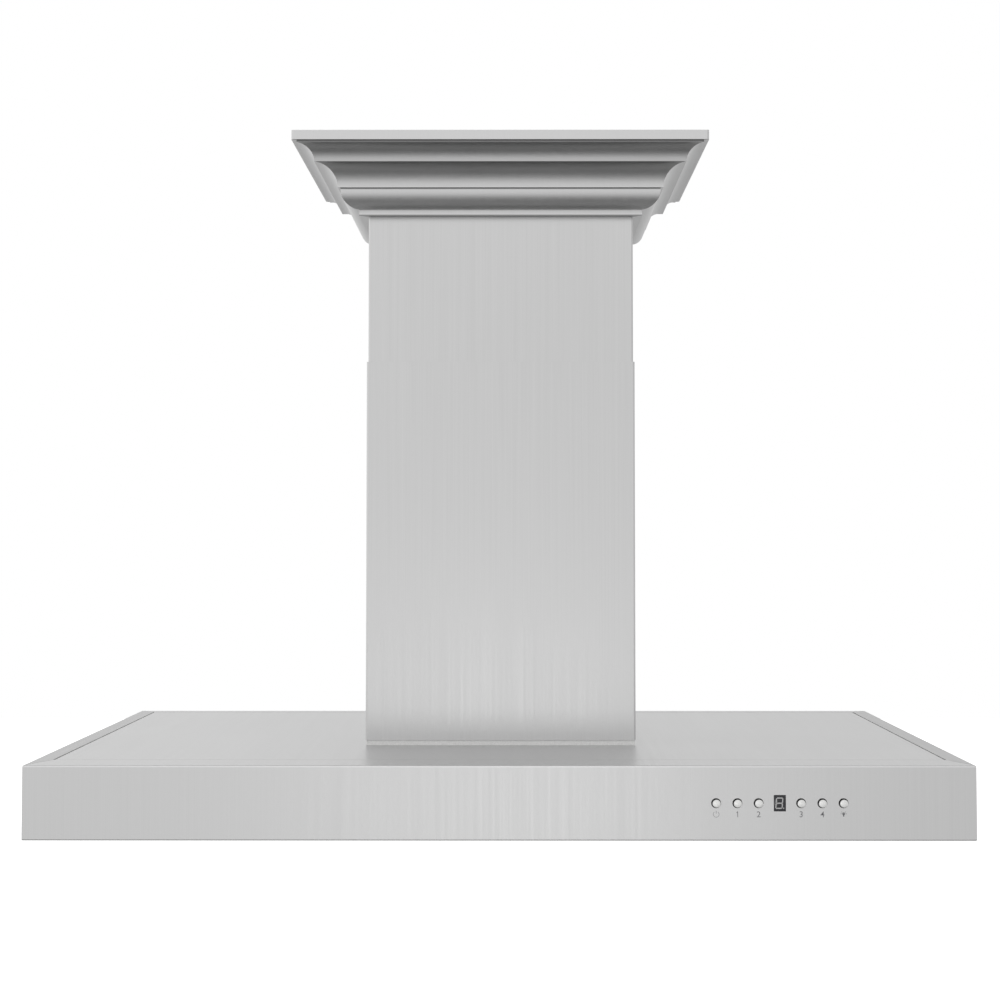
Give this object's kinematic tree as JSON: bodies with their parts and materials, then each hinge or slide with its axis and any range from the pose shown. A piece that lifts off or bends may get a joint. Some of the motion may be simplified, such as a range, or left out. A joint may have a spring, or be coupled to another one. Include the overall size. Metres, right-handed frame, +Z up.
{
  "type": "island range hood",
  "caption": "Ceiling-hung kitchen hood: flat box canopy with push buttons, telescoping rectangular chimney, stepped crown, baffle filters and a ducted blower.",
  "frame": {"origin": "centre of the ceiling plate's top face, where the hood meets the ceiling", "axes": "+Z up into the ceiling, +X to the right of someone facing the controls, -Y towards them"},
  "size_m": [0.9, 0.6026, 0.6985],
  "materials": {
    "brushed_stainless": "brushed stainless sheet with a fine vertical grain",
    "crown_stainless": "brushed stainless moulding, grain along each length",
    "filter_stainless": "bright stainless slats and rails",
    "galvanised": "spangled zinc-coated steel",
    "zinc_fastener": "bright zinc-plated screws",
    "frame_steel": "matt black coated angle",
    "lamp_rim": "satin chrome lamp cup",
    "lamp_lens": "frosted lens",
    "window": "smoked clear window",
    "board": "green circuit board with black parts",
    "black_plastic": "black moulded plastic",
    "white_plastic": "white moulded plastic",
    "rubber_seal": "light grey closed-cell foam",
    "button_steel": "satin metal button cap",
    "motor_black": "black enamelled motor can",
    "motor_core": "laminated iron core",
    "bearing_steel": "ground bearing steel",
    "cap_aluminium": "drawn aluminium can"
  },
  "bodies": {
    "ceiling_mount": {"ceiling_plate": "galvanised", "upper_chimney": "brushed_stainless", "crown_front": "crown_stainless", "crown_rear": "crown_stainless", "crown_left": "crown_stainless", "crown_right": "crown_stainless", "crown_brackets": "galvanised", "crown_screws": "zinc_fastener", "frame_screws": "zinc_fastener", "upper_upright_front_left": "frame_steel", "upper_upright_front_right": "frame_steel", "upper_upright_rear_left": "frame_steel", "upper_upright_rear_right": "frame_steel"},
    "canopy": {"clamp_bolts": "zinc_fastener", "base_screws": "zinc_fastener", "canopy_skirt": "brushed_stainless", "top_panel": "brushed_stainless", "underside_panel": "brushed_stainless", "lower_chimney": "brushed_stainless", "chimney_gasket": "rubber_seal", "light_housings": "lamp_rim", "light_lenses": "lamp_lens", "blower_box": "galvanised", "scroll_housing": "galvanised", "inlet_ring": "black_plastic", "motor_housing": "motor_black", "motor_bearings": "bearing_steel", "motor_stator": "motor_core", "outlet_transition": "galvanised", "duct_collar": "black_plastic", "junction_box": "galvanised", "junction_box_cover": "galvanised", "cable_gland": "black_plastic", "capacitor": "cap_aluminium", "control_housing": "white_plastic", "control_board": "board", "display_window": "window", "lower_upright_front_left": "frame_steel", "lower_upright_front_right": "frame_steel", "lower_upright_rear_left": "frame_steel", "lower_upright_rear_right": "frame_steel"},
    "power_button": {"power_button": "button_steel"},
    "speed_1_button": {"speed_1_button": "button_steel"},
    "speed_2_button": {"speed_2_button": "button_steel"},
    "speed_3_button": {"speed_3_button": "button_steel"},
    "speed_4_button": {"speed_4_button": "button_steel"},
    "light_button": {"light_button": "button_steel"},
    "filter_left": {"filter_frame_left": "filter_stainless", "filter_baffles_left": "filter_stainless", "filter_handle_left": "filter_stainless"},
    "filter_middle": {"filter_frame_middle": "filter_stainless", "filter_baffles_middle": "filter_stainless", "filter_handle_middle": "filter_stainless"},
    "filter_right": {"filter_frame_right": "filter_stainless", "filter_baffles_right": "filter_stainless", "filter_handle_right": "filter_stainless"},
    "blower_wheel": {"impeller": "galvanised", "motor_rotor": "bearing_steel"},
    "damper_front": {"damper_flap_front": "black_plastic"},
    "damper_rear": {"damper_flap_rear": "black_plastic"}
  },
  "joints": [
    {"name": "height_adjust", "type": "slide", "parent": "ceiling_mount", "child": "canopy", "axis": [0, 0, 1], "range_m": [-0.14, 0.15]},
    {"name": "power_button_press", "type": "slide", "parent": "canopy", "child": "power_button", "axis": [0, 1, 0], "range_m": [0, 0.0012], "stiffness_N_per_m": 900, "springref_m": -0.0015},
    {"name": "speed_1_button_press", "type": "slide", "parent": "canopy", "child": "speed_1_button", "axis": [0, 1, 0], "range_m": [0, 0.0012], "stiffness_N_per_m": 900, "springref_m": -0.0015},
    {"name": "speed_2_button_press", "type": "slide", "parent": "canopy", "child": "speed_2_button", "axis": [0, 1, 0], "range_m": [0, 0.0012], "stiffness_N_per_m": 900, "springref_m": -0.0015},
    {"name": "speed_3_button_press", "type": "slide", "parent": "canopy", "child": "speed_3_button", "axis": [0, 1, 0], "range_m": [0, 0.0012], "stiffness_N_per_m": 900, "springref_m": -0.0015},
    {"name": "speed_4_button_press", "type": "slide", "parent": "canopy", "child": "speed_4_button", "axis": [0, 1, 0], "range_m": [0, 0.0012], "stiffness_N_per_m": 900, "springref_m": -0.0015},
    {"name": "light_button_press", "type": "slide", "parent": "canopy", "child": "light_button", "axis": [0, 1, 0], "range_m": [0, 0.0012], "stiffness_N_per_m": 900, "springref_m": -0.0015},
    {"name": "filter_left_swing", "type": "hinge", "parent": "canopy", "child": "filter_left", "pos_m": [-0.262, 0.199, -0.684], "axis": [1, 0, 0], "range_deg": [0, 60]},
    {"name": "filter_middle_swing", "type": "hinge", "parent": "canopy", "child": "filter_middle", "pos_m": [0, 0.199, -0.684], "axis": [1, 0, 0], "range_deg": [0, 60]},
    {"name": "filter_right_swing", "type": "hinge", "parent": "canopy", "child": "filter_right", "pos_m": [0.262, 0.199, -0.684], "axis": [1, 0, 0], "range_deg": [0, 60]},
    {"name": "blower_spin", "type": "hinge", "parent": "canopy", "child": "blower_wheel", "pos_m": [0, -0.005, -0.5305], "axis": [1, 0, 0], "continuous": true},
    {"name": "damper_front_open", "type": "hinge", "parent": "canopy", "child": "damper_front", "pos_m": [0, -0.004, -0.358], "axis": [-1, 0, 0], "range_deg": [0, 80]},
    {"name": "damper_rear_open", "type": "hinge", "parent": "canopy", "child": "damper_rear", "pos_m": [0, 0.004, -0.358], "axis": [1, 0, 0], "range_deg": [0, 80]}
  ]
}
